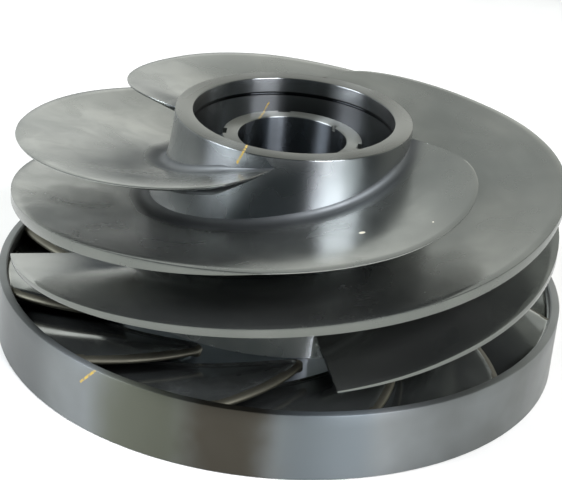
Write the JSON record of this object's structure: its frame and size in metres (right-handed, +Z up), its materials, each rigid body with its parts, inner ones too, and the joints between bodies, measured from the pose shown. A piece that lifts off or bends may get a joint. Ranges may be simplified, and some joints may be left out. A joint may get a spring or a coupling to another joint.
{
  "type": "turbopump inducer",
  "caption": "Axial inducer for a rocket-engine oxidiser turbopump: swept helical blades on a flared hub with a shroud ring of kicker vanes.",
  "frame": {"origin": "centre of the shroud ring's lower face, on the spin axis", "axes": "+Z up along the spin axis towards the nose rim; the picture looks from -Y"},
  "size_m": [0.3, 0.3, 0.1245],
  "materials": {
    "hub_body": "fine turned and polished nickel alloy",
    "kicker_hub": "fine turned nickel alloy",
    "hub_back_plate": "machined nickel alloy",
    "bore_sleeve": "honed bore, polished",
    "slotted_collar": "machined, satin",
    "main_blade_a": "milled and hand-finished nickel alloy",
    "main_blade_b": "milled and hand-finished nickel alloy",
    "main_blade_c": "milled and hand-finished nickel alloy",
    "main_blade_d": "milled and hand-finished nickel alloy",
    "kicker_vane_01": "milled and hand-finished nickel alloy",
    "kicker_vane_02": "milled and hand-finished nickel alloy",
    "kicker_vane_03": "milled and hand-finished nickel alloy",
    "kicker_vane_04": "milled and hand-finished nickel alloy",
    "kicker_vane_05": "milled and hand-finished nickel alloy",
    "kicker_vane_06": "milled and hand-finished nickel alloy",
    "kicker_vane_07": "milled and hand-finished nickel alloy",
    "kicker_vane_08": "milled and hand-finished nickel alloy",
    "kicker_vane_09": "milled and hand-finished nickel alloy",
    "kicker_vane_10": "milled and hand-finished nickel alloy",
    "kicker_vane_11": "milled and hand-finished nickel alloy",
    "kicker_vane_12": "milled and hand-finished nickel alloy",
    "shroud_ring": "machined ring, satin"
  },
  "bodies": {
    "root": {"hub_body": "hub_body", "kicker_hub": "kicker_hub", "hub_back_plate": "hub_back_plate", "bore_sleeve": "bore_sleeve", "slotted_collar": "slotted_collar", "main_blade_a": "main_blade_a", "main_blade_b": "main_blade_b", "main_blade_c": "main_blade_c", "main_blade_d": "main_blade_d", "kicker_vane_01": "kicker_vane_01", "kicker_vane_02": "kicker_vane_02", "kicker_vane_03": "kicker_vane_03", "kicker_vane_04": "kicker_vane_04", "kicker_vane_05": "kicker_vane_05", "kicker_vane_06": "kicker_vane_06", "kicker_vane_07": "kicker_vane_07", "kicker_vane_08": "kicker_vane_08", "kicker_vane_09": "kicker_vane_09", "kicker_vane_10": "kicker_vane_10", "kicker_vane_11": "kicker_vane_11", "kicker_vane_12": "kicker_vane_12", "shroud_ring": "shroud_ring"}
  },
  "joints": []
}
